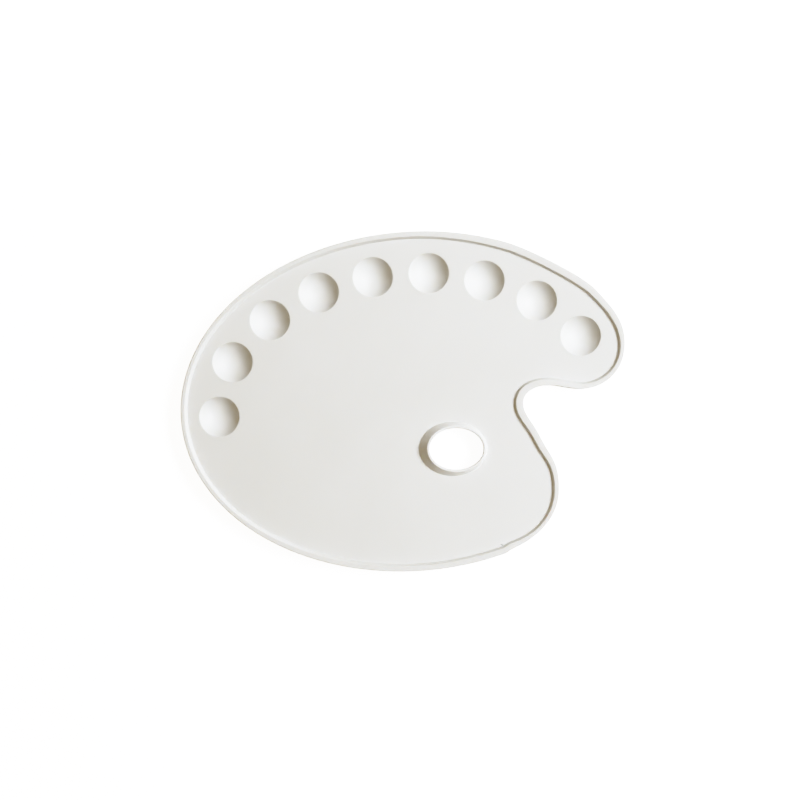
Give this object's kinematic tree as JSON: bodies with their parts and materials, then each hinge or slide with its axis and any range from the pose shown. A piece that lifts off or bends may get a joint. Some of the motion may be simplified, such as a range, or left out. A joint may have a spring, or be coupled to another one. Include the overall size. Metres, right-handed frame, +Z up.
{
  "type": "mixing palette",
  "caption": "Flat oval white plastic mixing palette with a raised rim, a curved row of round paint wells, a collared thumb hole and a finger notch.",
  "frame": {"origin": "centre of the palette's bounding box, on the plane that its skirt rests on", "axes": "lying flat: +Z up out of the mixing face, +X towards the notched end, +Y towards the edge with the wells"},
  "size_m": [0.3054, 0.2342, 0.0156],
  "materials": {
    "palette": "off-white moulded plastic, semi-gloss, with a very fine satin texture"
  },
  "bodies": {
    "root": {"palette": "palette"}
  },
  "joints": []
}
